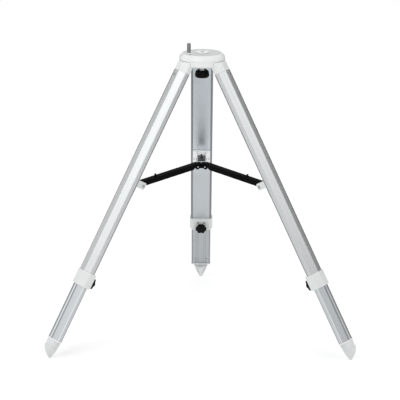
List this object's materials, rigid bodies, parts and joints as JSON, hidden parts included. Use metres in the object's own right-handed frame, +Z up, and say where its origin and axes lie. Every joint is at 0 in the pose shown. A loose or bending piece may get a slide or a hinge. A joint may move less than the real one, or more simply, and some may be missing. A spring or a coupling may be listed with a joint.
{
  "type": "telescope tripod",
  "caption": "Folding telescope tripod: round cast head with azimuth pin, splayed two-section aluminium legs with collar clamps, and a hinged spreader with stay arms.",
  "frame": {"origin": "on the tripod's axis, in the plane of the seat on top of the head", "axes": "+Z up along the axis, +Y from the axis towards the rear leg, +X to the right seen from the front"},
  "size_m": [0.8676, 0.7608, 0.8505],
  "materials": {
    "white_paint": "gloss white paint on cast aluminium",
    "upper_aluminium": "satin clear anodised extrusion",
    "lower_aluminium": "satin clear anodised extrusion",
    "black_steel": "satin black paint on pressed steel",
    "black_plastic": "satin black moulding",
    "dark_steel": "turned steel, blackened",
    "bright_steel": "bright zinc plate",
    "pad_brass": "turned brass",
    "guide_plastic": "plain black moulding",
    "pale_plastic": "pale grey moulding"
  },
  "bodies": {
    "head": {"head_casting": "white_paint", "centring_boss": "white_paint", "azimuth_pin": "dark_steel", "hinge_bolts": "bright_steel"},
    "fixing": {"fixing_bolt": "bright_steel", "fixing_knob": "black_plastic", "retaining_clip": "bright_steel"},
    "hub": {"spreader_hub": "black_plastic", "hub_rivets": "black_steel", "hub_screw": "bright_steel"},
    "rear_upper_leg": {"rear_leg_cap": "white_paint", "rear_upper_tube": "upper_aluminium", "rear_leg_screws": "dark_steel", "rear_collar": "white_paint", "rear_clamp_pad": "pad_brass", "rear_stay_bracket": "white_paint", "rear_bracket_pins": "bright_steel"},
    "rear_lower_leg": {"rear_lower_tube": "lower_aluminium", "rear_guide_block": "guide_plastic", "rear_foot": "pale_plastic", "rear_foot_screws": "dark_steel"},
    "rear_clamp": {"rear_clamp_knob": "black_plastic", "rear_clamp_stud": "bright_steel"},
    "rear_stay": {"rear_stay_arm": "black_steel", "rear_tray_stud": "black_steel"},
    "left_upper_leg": {"left_leg_cap": "white_paint", "left_upper_tube": "upper_aluminium", "left_leg_screws": "dark_steel", "left_collar": "white_paint", "left_clamp_pad": "pad_brass", "left_stay_bracket": "white_paint", "left_bracket_pins": "bright_steel"},
    "left_lower_leg": {"left_lower_tube": "lower_aluminium", "left_guide_block": "guide_plastic", "left_foot": "pale_plastic", "left_foot_screws": "dark_steel"},
    "left_clamp": {"left_clamp_knob": "black_plastic", "left_clamp_stud": "bright_steel"},
    "left_stay": {"left_stay_arm": "black_steel", "left_tray_stud": "black_steel"},
    "right_upper_leg": {"right_leg_cap": "white_paint", "right_upper_tube": "upper_aluminium", "right_leg_screws": "dark_steel", "right_collar": "white_paint", "right_clamp_pad": "pad_brass", "right_stay_bracket": "white_paint", "right_bracket_pins": "bright_steel"},
    "right_lower_leg": {"right_lower_tube": "lower_aluminium", "right_guide_block": "guide_plastic", "right_foot": "pale_plastic", "right_foot_screws": "dark_steel"},
    "right_clamp": {"right_clamp_knob": "black_plastic", "right_clamp_stud": "bright_steel"},
    "right_stay": {"right_stay_arm": "black_steel", "right_tray_stud": "black_steel"}
  },
  "joints": [
    {"name": "fixing_knob_turn", "type": "hinge", "parent": "head", "child": "fixing", "pos_m": [0, 0, -0.065], "axis": [0, 0, 1], "continuous": true},
    {"name": "rear_leg_fold", "type": "hinge", "parent": "head", "child": "rear_upper_leg", "pos_m": [0, 0.0475, -0.025], "axis": [-1, 0, 0], "range_deg": [0, 28.25]},
    {"name": "rear_leg_slide", "type": "slide", "parent": "rear_upper_leg", "child": "rear_lower_leg", "axis": [0, 0.4886, -0.8725], "range_m": [0, 0.5]},
    {"name": "rear_clamp_turn", "type": "hinge", "parent": "rear_upper_leg", "child": "rear_clamp", "pos_m": [0, 0.36221, -0.61724], "axis": [0, 0.8725, 0.4886], "continuous": true},
    {"name": "left_leg_fold", "type": "hinge", "parent": "head", "child": "left_upper_leg", "pos_m": [-0.04114, -0.02375, -0.025], "axis": [0.5, -0.866, 0], "range_deg": [0, 28.25]},
    {"name": "left_leg_slide", "type": "slide", "parent": "left_upper_leg", "child": "left_lower_leg", "axis": [-0.4232, -0.2443, -0.8725], "range_m": [0, 0.5]},
    {"name": "left_clamp_turn", "type": "hinge", "parent": "left_upper_leg", "child": "left_clamp", "pos_m": [-0.31368, -0.1811, -0.61724], "axis": [-0.7556, -0.4362, 0.4886], "continuous": true},
    {"name": "right_leg_fold", "type": "hinge", "parent": "head", "child": "right_upper_leg", "pos_m": [0.04114, -0.02375, -0.025], "axis": [0.5, 0.866, 0], "range_deg": [0, 28.25]},
    {"name": "right_leg_slide", "type": "slide", "parent": "right_upper_leg", "child": "right_lower_leg", "axis": [0.4232, -0.2443, -0.8725], "range_m": [0, 0.5]},
    {"name": "right_clamp_turn", "type": "hinge", "parent": "right_upper_leg", "child": "right_clamp", "pos_m": [0.31368, -0.1811, -0.61724], "axis": [0.7556, -0.4362, 0.4886], "continuous": true},
    {"name": "spreader_lift", "type": "slide", "parent": "head", "child": "hub", "axis": [0, 0, 1], "range_m": [0, 0.11568]},
    {"name": "rear_stay_fold", "type": "hinge", "parent": "hub", "child": "rear_stay", "pos_m": [0, 0.0187, -0.3257], "axis": [-1, 0, 0], "range_deg": [0, 79.38]},
    {"name": "left_stay_fold", "type": "hinge", "parent": "hub", "child": "left_stay", "pos_m": [-0.0162, -0.00935, -0.3257], "axis": [0.5, -0.866, 0], "range_deg": [0, 79.38]},
    {"name": "right_stay_fold", "type": "hinge", "parent": "hub", "child": "right_stay", "pos_m": [0.0162, -0.00935, -0.3257], "axis": [0.5, 0.866, 0], "range_deg": [0, 79.38]}
  ],
  "couplings": [
    {"joint": "left_leg_fold", "follows": "rear_leg_fold", "ratio": 1},
    {"joint": "right_leg_fold", "follows": "rear_leg_fold", "ratio": 1},
    {"joint": "spreader_lift", "follows": "rear_leg_fold", "m_per_rad": 0.23421},
    {"joint": "rear_stay_fold", "follows": "rear_leg_fold", "ratio": 2.8083},
    {"joint": "left_stay_fold", "follows": "rear_leg_fold", "ratio": 2.8083},
    {"joint": "right_stay_fold", "follows": "rear_leg_fold", "ratio": 2.8083}
  ]
}
